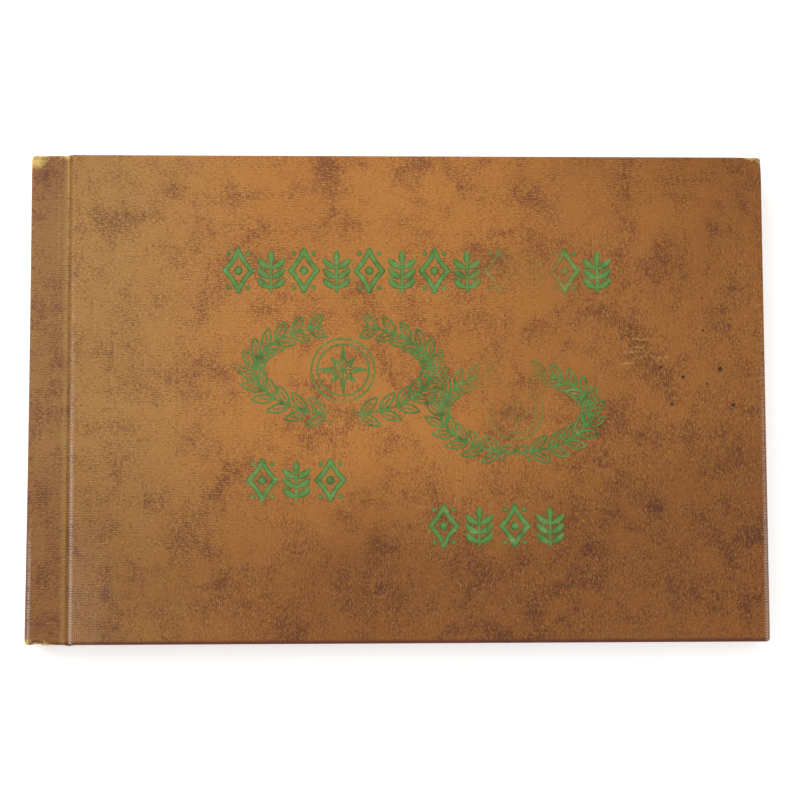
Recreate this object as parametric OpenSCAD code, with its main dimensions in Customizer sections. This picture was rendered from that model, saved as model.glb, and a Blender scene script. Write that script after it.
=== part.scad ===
// Landscape cloth-bound log book, lying closed on its back cover.
// +Z is up and +X runs from the spine to the fore edge, with +Y towards the head.
// The origin is the middle of the footprint, on the surface that the book lies on.

/* [Book] */
// Width of the closed book, from the spine to the fore edge
book_w = 229; // [190:1:275]
// Height of the covers, from tail to head
book_h = 152; // [126:1:183]

/* [Covers] */
// Thickness of a cover board
board_t = 2.4; // [1.8:0.1:3]
// Thickness of the coated book cloth
cloth_t = 0.35; // [0.25:0.05:0.45]
// Width of the cloth turned in over the inside of a board
turn_in_w = 15; // [10:0.5:22]
// Thickness of the paper pasted inside a cover
pastedown_t = 0.15; // [0.1:0.05:0.25]
// Cloth left showing round the edge of a pastedown
pastedown_margin = 3.5; // [2.5:0.5:6]
// Gap between a closed cover and the leaf that it lies on
cover_gap = 0.05; // [0.04:0.01:0.1]

/* [Leaves] */
// Number of leaves between the two flyleaves
leaf_count = 36; // [8:2:36]
// Thickness of a leaf
leaf_t = 0.175; // [0.12:0.005:0.22]
// Air between two leaves of the closed book
leaf_gap = 0.02; // [0.015:0.005:0.04]
// Projection of the covers past the leaves at the head, tail and fore edge
square_w = 3; // [2:0.5:4.5]
// Gap between the bound margin and the part of a leaf that turns
leaf_hinge_gap = 0.05; // [0.04:0.01:0.1]

/* [Spine] */
// Radius of the rounded shoulders of the spine
shoulder_r = 1.5; // [1:0.1:2]
// Thickness of the stiffening card inside the spine cloth
stiffener_t = 0.4; // [0.3:0.05:0.6]
// Thickness of the kraft paper lining
kraft_t = 0.15; // [0.1:0.05:0.25]
// Thickness of the gauze pasted round the bound margin
gauze_t = 0.2; // [0.15:0.05:0.3]
// Distance that the gauze stops short of the leaves at the head and tail
gauze_inset = 3; // [1:0.5:15]
// Distance that the kraft paper stops short of the leaves at the head and tail
kraft_inset = 1; // [0.5:0.5:15]

/* [Hinges] */
// Width of the card strip between the spine and the cover joint
strip_w = 9.75; // [8:0.25:14]
// Thickness of the card strip
strip_t = 1; // [0.8:0.1:1.3]
// Width of the open groove between the strip and the cover
groove_w = 1.2; // [1:0.1:2.5]
// Distance that the bound margin reaches past the groove
margin_lap = 0.2; // [0.1:0.1:0.6]
// Gap between the gauze and the edge of the cover
gauze_gap = 0.1; // [0.05:0.05:0.3]

/* [Wire staples] */
// Number of wire staples through the bound margin
staple_count = 3; // [2:1:3]
// Distance between the middles of two staples
staple_pitch = 46; // [30:1:48]
// Distance of the staples from the spine
staple_x = 6; // [4:0.25:8]
// Diameter of the staple wire
wire_d = 0.6; // [0.4:0.05:0.8]
// Length of the straight back of a staple, between its legs
crown_w = 12; // [9:0.5:16]
// Length of a leg's bent-in end
clinch_w = 4; // [3:0.5:4.5]
// Clearance round the wire
wire_clear = 0.05; // [0.03:0.01:0.1]

/* [Hidden] */
// Small overshoot for clean cuts
cut = 1;
// Facets of the staple wire and of the spine's shoulders
wire_fn = 24;
shoulder_fn = 48;

// Thickness of a cover at its turned-in edge and under its pastedown
wrap_t = board_t + 2 * cloth_t;
cover_t = wrap_t + pastedown_t;

// Heights of the leaves and of the whole book
sheet_count = leaf_count + 2;
pitch = leaf_t + leaf_gap;
block_z0 = cover_t + cover_gap;
block_z1 = block_z0 + sheet_count * pitch;
book_t = block_z0 + block_z1;

// Depth of the card strips, below the covers' outer faces
strip_z1 = block_z0 - gauze_t;
strip_z0 = strip_z1 - strip_t;
spine_z0 = strip_z0 - cloth_t;

// Distances from the outside of the spine
stiffener_x0 = cloth_t;
kraft_x0 = stiffener_x0 + stiffener_t;
gauze_x0 = kraft_x0 + kraft_t;
margin_x0 = gauze_x0 + gauze_t;
strip_x0 = shoulder_r;
strip_x1 = strip_x0 + strip_w;
ridge_x = strip_x1 + cloth_t;
cover_x0 = ridge_x + groove_w;
board_x0 = cover_x0 + cloth_t;
board_x1 = book_w - cloth_t;
margin_x1 = cover_x0 + margin_lap;
gauze_x1 = cover_x0 - gauze_gap;
leaf_x0 = margin_x1 + leaf_hinge_gap;
leaf_x1 = book_w - square_w;

// Lengths along the spine
leaf_h = book_h - 2 * square_w;
inner_h = book_h - 2 * cloth_t;
gauze_h = leaf_h - 2 * gauze_inset;
kraft_h = leaf_h - 2 * kraft_inset;

// The window that the turned-in cloth leaves open on a board
window_x1 = book_w - turn_in_w;
window_h = book_h - 2 * turn_in_w;

// Centre heights of a staple's straight back and of its bent-in ends
crown_z = block_z1 - wire_d / 2;
clinch_z = block_z0 + wire_d / 2;
slot_w = wire_d + 2 * wire_clear;

function leaf_name(i) = str("leaf_", i < 10 ? "0" : "", i);

// Colours
cloth_colour = "#a06a3c";
board_colour = "#a8937a";
endpaper_colour = "#ddd0ae";
leaf_colour = "#e9dfc4";
card_colour = "#b49a72";
kraft_colour = "#a5825a";
gauze_colour = "#d9d3c0";
steel_colour = "#9a9c9e";

// A slab from x0 to x1, h long about the middle of the spine, from z0 to z1
module slab(x0, x1, h, z0, z1) {
    translate([x0 - book_w / 2, -h / 2, z0])
        cube([x1 - x0, h, z1 - z0]);
}

// A profile drawn with x from the spine and y as height, h long about the spine's middle
module along_spine(h) {
    translate([-book_w / 2, h / 2, 0])
        rotate([90, 0, 0])
            linear_extrude(h) children();
}

// Turns a piece of the back cover into the same piece of the front cover
module as_front() {
    translate([0, 0, book_t]) mirror([0, 0, 1]) children();
}

module cover_board() {
    slab(board_x0, board_x1, inner_h, cloth_t, cloth_t + board_t);
}

// Cloth over the outside of a board, its four edges and three turned-in margins
module cover_cloth() {
    difference() {
        slab(cover_x0, book_w, book_h, 0, wrap_t);
        cover_board();
        slab(board_x0, window_x1, window_h, cloth_t + board_t, wrap_t + cut);
    }
}

// Paper pasted on the board and over the turned-in cloth round it
module pastedown() {
    difference() {
        union() {
            slab(board_x0, window_x1, window_h, cloth_t + board_t, cover_t);
            slab(board_x0, book_w - pastedown_margin, book_h - 2 * pastedown_margin,
                wrap_t, cover_t);
        }
        slab(board_x0 - cut, window_x1 - pastedown_t, window_h - 2 * pastedown_t,
            cloth_t + board_t + pastedown_t, cover_t + cut);
    }
}

// The outline of the spine's cloth, or of the space that it leaves at a depth inside it
module spine_outline(depth) {
    low = spine_z0 + depth;
    high = book_t - low;
    r = shoulder_r - depth;
    translate([shoulder_r, low]) square([strip_w, high - low]);
    translate([depth, spine_z0 + shoulder_r])
        square([strip_w, book_t - 2 * (spine_z0 + shoulder_r)]);
    for (z = [spine_z0 + shoulder_r, book_t - spine_z0 - shoulder_r])
        translate([shoulder_r, z]) circle(r, $fn = shoulder_fn);
}

// The part of the spine's section that is open to the leaves
module leaf_opening() {
    translate([kraft_x0, strip_z1])
        square([strip_x1 - kraft_x0 + cut, book_t - 2 * strip_z1]);
}

// Cloth across the L-shaped step from a card strip to the edge of its cover
module joint_cloth() {
    along_spine(book_h)
        polygon([
            [strip_x1, spine_z0],
            [ridge_x, spine_z0],
            [ridge_x, strip_z1 - cloth_t],
            [cover_x0, strip_z1 - cloth_t],
            [cover_x0, strip_z1],
            [strip_x1, strip_z1]
        ]);
}

module hinge_strip() {
    slab(strip_x0, strip_x1, inner_h, strip_z0, strip_z1);
}

// The turning part of sheet i, counted down from the front flyleaf
module sheet(i) {
    top = block_z1 - i * pitch - leaf_gap / 2;
    color(i == 0 || i == sheet_count - 1 ? endpaper_colour : leaf_colour)
        slab(leaf_x0, leaf_x1, leaf_h, top - leaf_t, top);
}

// Runs its children once for each staple, at the staple's place along the spine
module each_staple() {
    for (i = [0:staple_count - 1])
        translate([
            staple_x - book_w / 2,
            (i - (staple_count - 1) / 2) * staple_pitch,
            0
        ])
            children();
}

// A round bar between two points that differ along one axis only
module bar(a, b) {
    d = b - a;
    length = norm(d);
    translate(a)
        rotate(d[1] == 0 ? [0, 0, 0] : [d[1] > 0 ? -90 : 90, 0, 0])
            cylinder(h = length, d = wire_d, $fn = wire_fn);
}

module staple() {
    for (side = [-1, 1]) {
        leg_y = side * crown_w / 2;
        bar([0, leg_y, clinch_z], [0, leg_y, crown_z]);
        bar([0, leg_y, clinch_z], [0, leg_y - side * clinch_w, clinch_z]);
        translate([0, leg_y, crown_z]) sphere(d = wire_d, $fn = wire_fn);
        translate([0, leg_y, clinch_z]) sphere(d = wire_d, $fn = wire_fn);
    }
    bar([0, -crown_w / 2, crown_z], [0, crown_w / 2, crown_z]);
}

// The room that a staple takes up in the margin
module staple_channel() {
    crown_h = wire_d + wire_clear;
    for (side = [-1, 1]) {
        leg_y = side * crown_w / 2;
        translate([-slot_w / 2, leg_y - slot_w / 2, block_z0 - cut])
            cube([slot_w, slot_w, block_z1 - block_z0 + 2 * cut]);
        clinch_mid = leg_y - side * clinch_w / 2;
        clinch_l = clinch_w + slot_w;
        translate([-slot_w / 2, clinch_mid - clinch_l / 2, block_z0 - cut])
            cube([slot_w, clinch_l, crown_h + cut]);
    }
    translate([-slot_w / 2, -crown_w / 2, block_z1 - crown_h])
        cube([slot_w, crown_w, crown_h + cut]);
}

module front_cover_cloth() { color(cloth_colour) as_front() cover_cloth(); }
module front_board() { color(board_colour) as_front() cover_board(); }
module front_pastedown() { color(endpaper_colour) as_front() pastedown(); }
module back_cover_cloth() { color(cloth_colour) cover_cloth(); }
module back_board() { color(board_colour) cover_board(); }
module back_pastedown() { color(endpaper_colour) pastedown(); }

// Cloth round the spine and over the outside and the ends of both card strips
module spine_cloth() {
    color(cloth_colour) difference() {
        along_spine(book_h) spine_outline(0);
        along_spine(inner_h) spine_outline(cloth_t);
        along_spine(book_h + 2 * cut) leaf_opening();
    }
}

module front_joint_cloth() { color(cloth_colour) as_front() joint_cloth(); }
module back_joint_cloth() { color(cloth_colour) joint_cloth(); }
module front_hinge_strip() { color(card_colour) as_front() hinge_strip(); }
module back_hinge_strip() { color(card_colour) hinge_strip(); }

module spine_stiffener() {
    edge = spine_z0 + shoulder_r;
    color(card_colour)
        slab(stiffener_x0, kraft_x0, inner_h, edge, book_t - edge);
}

module kraft_lining() {
    color(kraft_colour) slab(kraft_x0, gauze_x0, kraft_h, block_z0, block_z1);
}

// Gauze round the back of the leaves and over both faces of their bound margin
module gauze_lining() {
    color(gauze_colour) difference() {
        slab(gauze_x0, gauze_x1, gauze_h, strip_z1, book_t - strip_z1);
        slab(margin_x0, gauze_x1 + cut, gauze_h + 2 * cut, block_z0, block_z1);
    }
}

// The margins of all the leaves, held together along the spine
module bound_margin() {
    color(leaf_colour) difference() {
        slab(margin_x0, margin_x1, leaf_h, block_z0, block_z1);
        each_staple() staple_channel();
    }
}

module wire_staples() { color(steel_colour) each_staple() staple(); }

front_cover_cloth();
front_board();
front_pastedown();
back_cover_cloth();
back_board();
back_pastedown();
spine_cloth();
front_joint_cloth();
back_joint_cloth();
front_hinge_strip();
back_hinge_strip();
spine_stiffener();
kraft_lining();
gauze_lining();
bound_margin();
wire_staples();
sheet(0);  // front_flyleaf
for (i = [1:leaf_count])
    sheet(i);
sheet(sheet_count - 1);  // back_flyleaf
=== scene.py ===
import math
from random import Random

import bmesh
import bpy
from bpy.props import FloatProperty, FloatVectorProperty, IntProperty, PointerProperty
from bpy.types import Operator, Panel, PropertyGroup
from mathutils import Matrix, Vector


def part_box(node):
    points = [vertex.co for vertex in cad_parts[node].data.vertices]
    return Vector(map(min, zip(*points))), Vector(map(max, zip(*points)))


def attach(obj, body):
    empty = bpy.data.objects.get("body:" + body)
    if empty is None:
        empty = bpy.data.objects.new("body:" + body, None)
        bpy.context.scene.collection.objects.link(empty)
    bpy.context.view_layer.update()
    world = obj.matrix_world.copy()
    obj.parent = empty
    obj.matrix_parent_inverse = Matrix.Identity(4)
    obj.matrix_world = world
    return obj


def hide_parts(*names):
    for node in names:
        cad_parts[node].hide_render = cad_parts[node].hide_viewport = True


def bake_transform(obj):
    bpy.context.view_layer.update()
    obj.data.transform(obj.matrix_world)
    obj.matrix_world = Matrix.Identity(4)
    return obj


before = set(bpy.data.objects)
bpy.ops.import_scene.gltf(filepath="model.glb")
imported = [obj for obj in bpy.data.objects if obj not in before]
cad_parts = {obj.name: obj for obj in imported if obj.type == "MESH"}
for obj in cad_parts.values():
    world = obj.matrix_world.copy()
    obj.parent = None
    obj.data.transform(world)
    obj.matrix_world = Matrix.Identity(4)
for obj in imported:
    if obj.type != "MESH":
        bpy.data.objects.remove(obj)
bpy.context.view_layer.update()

bl_info = {
    "name": "Clothbound logbook",
    "version": (1, 0, 0),
    "blender": (4, 5, 0),
    "location": "3D View > Sidebar > Logbook",
    "description": "Covers the logbook's frame with its cloth, stamping, endpapers and ruled leaves",
    "category": "Object",
}

# ------------------------------------------------------------------ sizes, in millimetres

MM = 0.001


def box_mm(node):
    """The lowest and highest corners of a node, in millimetres."""
    return [Vector(corner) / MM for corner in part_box(node)]


COVER_LO, COVER_HI = box_mm("front_cover_cloth")
SPINE_LO, SPINE_HI = box_mm("spine_cloth")
PASTE_LO, PASTE_HI = box_mm("front_pastedown")
MARGIN_LO, MARGIN_HI = box_mm("bound_margin")
LEAF_LO, LEAF_HI = box_mm("leaf_01")

THICKNESS = COVER_HI.z                # the whole book, cover to cover
HALF = COVER_HI.y                     # half its height, head to tail
FORE = COVER_HI.x                     # the fore edge of the boards
NEAR = COVER_LO.x                     # the boards' edge by the groove
INSIDE = COVER_LO.z                   # the turned-in cloth's face, inside the front cover
CLOTH = COVER_HI.z - box_mm("front_board")[1].z           # the cloth's own thickness
SLACK = 0.5                           # the cloth's fullness over the groove
GROOVE = INSIDE + CLOTH + SLACK       # the bottom of the groove
RIDGE = box_mm("front_hinge_strip")[1].x + CLOTH          # the card strip's edge by the groove
STRIP_TOP = SPINE_HI.z                # the cloth's face over the strip
SPINE = SPINE_LO.x                    # the outside of the spine
TURN_IN = 15.0                        # how far the cloth is turned in over the boards
END_TURN_IN = HALF - MARGIN_HI.y - 0.2    # and over the strips, clear of the block
CLOTH_MADE = CLOTH - 0.02             # the cloth as made, a hair thin so that it clears the boards
BLUNT = 1.5                           # rounding of the spine's worn corners
CLOTH_MAP = "cloth"                   # UV maps, in metres over the flat sheet
PAGE_MAP = "page"
STROKE_MAP = "stroke"


def srgb(red, green, blue):
    """A colour given as 0 to 255 screen values, as Blender's linear colour."""
    def linear(value):
        share = value / 255
        return share / 12.92 if share <= 0.04045 else ((share + 0.055) / 1.055) ** 2.4
    return (linear(red), linear(green), linear(blue), 1.0)


def eased(share):
    """A share, held between 0 and 1 and eased at both ends."""
    share = min(max(share, 0.0), 1.0)
    return share * share * (3 - 2 * share)


def colour_property(name, description, default):
    """A colour that a user can change."""
    return FloatVectorProperty(
        name=name, description=description, default=default, size=4, subtype="COLOR", min=0, max=1
    )


class LOGBOOK_PG_cloth(PropertyGroup):
    """Sizes and colours of the case cloth and its stamping."""

    edge_radius: FloatProperty(
        name="Edge radius",
        description="Rounding of the covered board edges, in mm", default=0.8, min=0.2
    )
    corner_radius: FloatProperty(
        name="Corner radius", description="Rounding of the covers' outer corners, in mm", default=1.2
    )
    shoulder_radius: FloatProperty(
        name="Shoulder radius",
        description="Rounding where the strips meet the spine, in mm", default=1.5
    )
    crease_radius: FloatProperty(
        name="Crease radius", description="Rounding in the bottom of the groove, in mm", default=0.5
    )
    ridge_radius: FloatProperty(
        name="Ridge radius",
        description="Rounding over the strip's edge by the groove, in mm", default=0.7
    )
    spine_lean: FloatProperty(
        name="Spine lean", description="How far the worn spine leans out at the tail, in mm", default=0.8
    )
    rib_pitch: FloatProperty(
        name="Rib pitch",
        description="From one cross rib of the linen grain to the next, in mm", default=0.72
    )
    thread_pitch: FloatProperty(
        name="Thread pitch", description="From one upright thread to the next, in mm", default=0.6
    )
    tan: colour_property("Tan", "The cloth where it has faded, by the spine", srgb(165, 119, 62))
    warm: colour_property("Warm tan", "The cloth over the middle of the cover", srgb(179, 116, 51))
    brown: colour_property("Brown", "The cloth where it is deepest", srgb(124, 72, 23))
    mottle: colour_property("Mottle", "The dark speckled clouds", srgb(86, 34, 32))
    worn: colour_property("Worn", "Bare threads where the coating has gone", srgb(208, 174, 104))
    # This colour is painted highlight: a grey sheen along the lit edges and over the board by the groove,
    # in dashes like rubbed threads.
    sheen: colour_property("Scuff", "Grey scuffed coating along the edges", srgb(190, 172, 164))
    ink: colour_property("Stamping", "The stamped colour", srgb(80, 138, 66))
    ink_edge: colour_property("Stamping edge", "Its darker, thicker edge", srgb(38, 92, 40))
    ink_width: FloatProperty(
        name="Ornament line", description="Line width of the rows of ornaments, in mm", default=1.6
    )
    emblem_width: FloatProperty(
        name="Emblem line", description="Line width of the two emblems, in mm", default=0.55
    )


class LOGBOOK_PG_paper(PropertyGroup):
    """Sizes and colours of the endpapers and leaves."""

    leaf: colour_property("Leaf", "The ruled leaves", srgb(226, 211, 176))
    aged: colour_property("Aged edge", "Paper that has browned at its edges", srgb(176, 142, 96))
    endpaper: colour_property("Endpaper", "The pastedowns and flyleaves", srgb(222, 203, 163))
    rule: colour_property("Rule", "The printed lines", srgb(112, 128, 140))
    thickness: FloatProperty(
        name="Leaf thickness", description="Thickness of one leaf as drawn, in mm", default=0.15
    )
    curl: FloatProperty(
        name="Curl", description="How much of a leaf bends as it is turned, in mm", default=4.5
    )
    line_pitch: FloatProperty(
        name="Line pitch", description="Distance between the ruled lines, in mm", default=8.5
    )
    unevenness: FloatProperty(
        name="Unevenness", description="How far a leaf's edges stand out of line, in mm", default=0.16
    )
    seed: IntProperty(name="Seed", description="Chooses the leaves' uneven edges", default=7)


class LOGBOOK_PG_studio(PropertyGroup):
    """The camera and the lights."""

    camera_at: FloatVectorProperty(
        name="Camera", description="Where the camera stands", default=(-0.0289, -0.0637, 0.6999),
        subtype="TRANSLATION", unit="LENGTH"
    )
    camera_turn: FloatVectorProperty(
        name="Camera angle", description="How the camera is turned", subtype="EULER",
        default=(math.radians(5.24), math.radians(-2.4), math.radians(-0.26))
    )
    lens: FloatProperty(name="Lens", description="Focal length, in mm", default=100.0)
    key: FloatProperty(name="Key light", description="Power of the key light", default=7.0, unit="POWER")
    sky: FloatProperty(name="Sky", description="Strength of the white surroundings", default=0.55)
    glow: FloatProperty(
        name="Glow", description="The floor's own light, as of a light table", default=0.42
    )
    floor: colour_property("Floor", "The pale floor", (0.95, 0.95, 0.95, 1.0))


# ------------------------------------------------------------------ shader maths


class Value:
    """A socket of a material: sums written with it add the nodes that work them out."""

    def __init__(self, finish, socket):
        self.finish = finish
        self.socket = socket

    def maths(self, operation, *values):
        """A Math node on these values."""
        inputs = dict(enumerate(values))
        return self.finish.node("Math", {"operation": operation}, inputs)

    def __add__(self, other):
        return self.maths("ADD", self, other)

    def __sub__(self, other):
        return self.maths("SUBTRACT", self, other)

    def __rsub__(self, other):
        return self.maths("SUBTRACT", other, self)

    def __mul__(self, other):
        return self.maths("MULTIPLY", self, other)

    def __truediv__(self, other):
        return self.maths("DIVIDE", self, other)

    def __rtruediv__(self, other):
        return self.maths("DIVIDE", other, self)

    __radd__ = __add__
    __rmul__ = __mul__

    def __abs__(self):
        return self.maths("ABSOLUTE", self)

    def sine(self):
        """Its sine, in radians."""
        return self.maths("SINE", self)

    def root(self):
        """Its square root."""
        return self.maths("SQRT", self)

    def most(self, other):
        """The greater of this and another."""
        return self.maths("MAXIMUM", self, other)

    def least(self, other):
        """The lesser of this and another."""
        return self.maths("MINIMUM", self, other)

    def wrap(self, length):
        """How far it is past the last whole length."""
        return self.maths("WRAP", self, length, 0.0)

    def step(self, low, high):
        """Rises smoothly from 0 at low to 1 at high. With high below low it falls."""
        ends = {"Value": self, "From Min": low, "From Max": high}
        return self.finish.node("MapRange", {"interpolation_type": "SMOOTHSTEP"}, ends)

    def band(self, centre, half):
        """1 at centre, falling smoothly to 0 at half either side."""
        return abs(self - centre).step(half, 0.0)


class Finish:
    """One material, built from its nodes."""

    def __init__(self, name, uv_map=None, seed=0.0):
        self.seed = seed
        self.material = bpy.data.materials.new(name)
        self.material.use_nodes = True
        self.tree = self.material.node_tree
        self.shader = self.tree.nodes["Principled BSDF"]
        if uv_map:
            place = self.node("UVMap", {"uv_map": uv_map})
        else:
            place = self.node("TexCoord", output="Object")
        self.place = self.vector("SCALE", place, Scale=1 / MM)
        self.x, self.y, self.z = self.parts(self.place)

    def node(self, kind, settings=None, inputs=None, output=0):
        """Any node: its settings come first, then the values or links of its sockets."""
        made = self.tree.nodes.new("ShaderNode" + kind)
        for name, setting in (settings or {}).items():
            setattr(made, name, setting)
        for name, value in (inputs or {}).items():
            self.put(made.inputs[name], value)
        return Value(self, made.outputs[output])

    def put(self, socket, value):
        """Links a Value to a socket, or sets a plain number or colour on it."""
        if isinstance(value, Value):
            self.tree.links.new(value.socket, socket)
        else:
            socket.default_value = value

    def vector(self, operation, first, second=None, **named):
        """A Vector Math node."""
        inputs = {0: first, **({} if second is None else {1: second}), **named}
        return self.node("VectorMath", {"operation": operation}, inputs)

    def parts(self, vector):
        """The three numbers of a vector."""
        split = self.node("SeparateXYZ", None, {"Vector": vector}).socket.node
        return [Value(self, socket) for socket in split.outputs]

    def noise(self, per_mm, detail=2.0, roughness=0.5, seed=0.0, stretch=None):
        """Soft noise from 0 to 1 over the piece, so many waves to the millimetre."""
        place = self.vector("MULTIPLY", self.place, stretch) if stretch else self.place
        settings = {"noise_dimensions": "4D"}
        inputs = {"Vector": place, "W": seed + self.seed, "Scale": per_mm, "Detail": detail,
                  "Roughness": roughness}
        return self.node("TexNoise", settings, inputs)

    def mix(self, first, second, share):
        """The first colour turning into the second."""
        return self.node("Mix", {"data_type": "RGBA"}, {0: share, 6: first, 7: second}, output=2)

    def close(self, colour, roughness, height=None, depth=0.1, **constants):
        """Joins everything to the shader and returns the material. Depth is in millimetres."""
        self.put(self.shader.inputs["Base Color"], colour)
        self.put(self.shader.inputs["Roughness"], roughness)
        if height is not None:
            bump = self.node("Bump", None, {"Height": height, "Distance": depth * MM, "Strength": 1.0})
            self.put(self.shader.inputs["Normal"], bump)
        for name, value in constants.items():
            self.shader.inputs[name.replace("_", " ")].default_value = value
        return self.material


# ------------------------------------------------------------------ finishes


def worn_spot(finish, x, y, across, along, rag):
    """A ragged worn place on the cloth: 1 in the middle and 0 outside."""
    far_x = (finish.x - x) / across
    far_y = (finish.y - y) / along
    far = (far_x * far_x + far_y * far_y).root()
    return (far + rag).step(1.15, 0.7)


def cloth_surface(finish, cloth):
    """Colour, weave and grain of the coated linen-grain cloth, clouded with dark specks."""
    x, y = finish.x, finish.y
    # Ribs lie across the cloth by the spine's head, and upright threads show over the rest.
    wander = finish.noise(0.25, 2.0, seed=4.0) * 0.9
    ribs = ((y + wander) * (math.tau / cloth.rib_pitch)).sine() * 0.5 + 0.5
    threads = ((x + wander) * (math.tau / cloth.thread_pitch)).sine() * 0.5 + 0.5
    ribbed = (finish.noise(0.02, 2.0, seed=5.0) - x / 500 + y / 400).step(0.35, 0.62)
    weave = ribs * (ribbed * 0.7 + 0.2) + threads * (0.85 - ribbed * 0.6)
    # Flecks follow the threads, and the clouds decide where they are dark.
    lying = finish.noise(1.9, 2.0, 0.8, seed=11.0, stretch=(0.5, 1.0, 1.0))
    standing = finish.noise(1.9, 2.0, 0.8, seed=12.0, stretch=(1.0, 0.5, 1.0))
    grain = finish.noise(2.3, 2.0, 0.8, seed=3.0)
    fleck = (lying * ribbed + standing * (1 - ribbed)) * 0.55 + grain * 0.45
    cloud = finish.noise(0.06, 5.0, 0.62, seed=1.0) * 0.6 + finish.noise(0.2, 4.0, 0.65, seed=2.0) * 0.4
    speck = (fleck + (cloud - 0.5) * 0.62 - weave * 0.05).step(0.465, 0.565)
    # The cloth darkens towards its fore edge and its tail: partly its own deeper colour, partly painted
    # shade where the light falls off away from the head and the spine.
    tone = finish.noise(0.016, 3.0, 0.5, seed=6.0)
    side = x.step(0.0, 105.0) * 0.64
    low = y.step(0.0, -72.0) * (x.step(-90.0, -10.0) * 0.45 + 0.5)
    depth = (side + low + (tone - 0.5) * 0.8).most(0.0).least(0.8)
    colour = finish.mix(cloth.tan, cloth.warm, x.step(-95.0, -30.0))
    colour = finish.mix(colour, cloth.brown, depth)
    shade = finish.mix(cloth.mottle, srgb(48, 20, 18), depth)
    colour = finish.mix(colour, shade, speck * (depth * 0.08 + 0.56) + cloud.step(0.5, 0.66) * 0.12)
    colour = finish.mix(colour, cloth.worn, fleck.step(0.46, 0.36) * (0.42 - depth * 0.16))
    # Painted shade in the hollows of the weave.
    colour = finish.mix(colour, cloth.mottle, (1 - weave) * (depth * 0.08 + 0.08))
    return colour, weave, grain


def painted_edge_sheen(finish, cloth, runs, weave, rag, dashes, patches, knots):
    """Painted highlight in grey dashes along the lit near edge, the fore edge and the spine's shoulder at
    the tail, and a painted sheen over the board by the groove.
    """
    x, y = finish.x, finish.y
    # Painted highlight along the board's near edge, which faces the light.
    near_edge = (dashes * 1.3 + patches * 0.4 - y / 280).step(0.62, 1.1)
    near_edge = x.band(runs["near_edge"] + 0.5, 1.1) * near_edge
    # Painted highlight along the fore edge.
    fore_edge = x.band(FORE - 0.9, 1.0) * (dashes + patches * 0.3 - y / 300).step(0.52, 0.85)
    # Painted highlight on the spine's rounded shoulder, towards the tail.
    tail_shoulder = x.band(runs["shoulder"] + 0.8, 0.8) * (dashes - y / 420).step(0.46, 0.62)
    painted_sheen = (near_edge * knots).most(fore_edge * knots * 0.8)
    painted_sheen = painted_sheen.most(tail_shoulder * knots * y.step(-30.0, -58.0))
    threads = (x * (math.tau / cloth.thread_pitch)).sine() * 0.5 + 0.5
    # Painted sheen over the board by the groove, towards the tail.
    sheen_haze = (weave * 0.4 + threads * 0.4 + rag * 0.6).step(0.6, 1.1) * y.step(-22.0, -66.0)
    sheen_haze = sheen_haze * x.step(runs["near_edge"] + 18.0, runs["near_edge"])
    sheen_haze = sheen_haze * x.step(runs["ridge"], runs["near_edge"])
    return painted_sheen.most(sheen_haze * 0.36)


def bare_threads(finish, runs, rag, dashes, patches, knots, marked):
    """Cream threads laid bare along the ridge and its crease, at the corners and in scratches."""
    x, y = finish.x, finish.y
    ridge_worn = (dashes + (patches - 0.5) * 0.7 + y / 180 - 0.12).step(0.52, 0.78)
    ridge_worn = x.band(runs["ridge"], 0.42) * ridge_worn * (knots * 0.4 + 0.6)
    crease = x.band(runs["ridge"] - 2.9, 0.4) * dashes.step(0.45, 0.7) * y.step(20.0, 48.0) * 0.5
    rubbed = x.band(runs["ridge"] - 0.5, 1.6) * (patches * 0.12 + dashes * 0.2)
    bare = (ridge_worn * 0.85).most(crease).most(rubbed)
    for place in moved(WORN_PLACES if marked else CORNERS, runs):
        bare = bare.most(worn_spot(finish, *place, (rag - 0.5) * 1.5))
    for place in SCRATCHES if marked else ():
        scratch = worn_spot(finish, *place, (dashes - 0.45) * 5.0)
        bare = bare.most(scratch * rag.step(0.42, 0.6) * 0.4)
    return bare


def soiling_and_painted_shade(finish, runs, rag, dashes, patches, marked):
    """Where the cloth is darker: over the whole strip and with dirt where hands held it, and painted shade
    on the spine's shoulder, the walls, the tail edge and in the groove.
    """
    x, y = finish.x, finish.y
    strip = x.step(runs["ridge"] + 0.2, runs["ridge"] - 0.6) * (patches * 0.16 + y / 900 + 0.14)
    # Painted shade where the spine's shoulder rounds away from the light.
    shoulder = x.step(runs["shoulder"] + 2.4, runs["shoulder"] + 0.4)
    # Painted shade on the fore, head and tail walls, with a painted shadow line along the tail edge.
    walls = x.step(FORE - 0.2, FORE + 0.5).most(abs(y).step(HALF - 0.6, HALF + 0.3))
    walls = (walls * (patches * 0.5 + 0.1)).most(y.band(0.5 - HALF, 1.1) * 0.8)
    dirt_and_shade = strip.most(shoulder * (dashes.step(0.5, 0.35) * 0.5 + 0.25)).most(walls)
    # Painted shade in the groove.
    dirt_and_shade = dirt_and_shade.most(x.band(runs["groove"] + 0.2, 1.2) * 0.2)
    for place in moved(SOILED_PLACES if marked else (), runs):
        handled = worn_spot(finish, *place, (rag - 0.5) * 3.0)
        dirt_and_shade = dirt_and_shade.most(handled * dashes.step(0.38, 0.6) * 0.6)
    return dirt_and_shade


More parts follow.
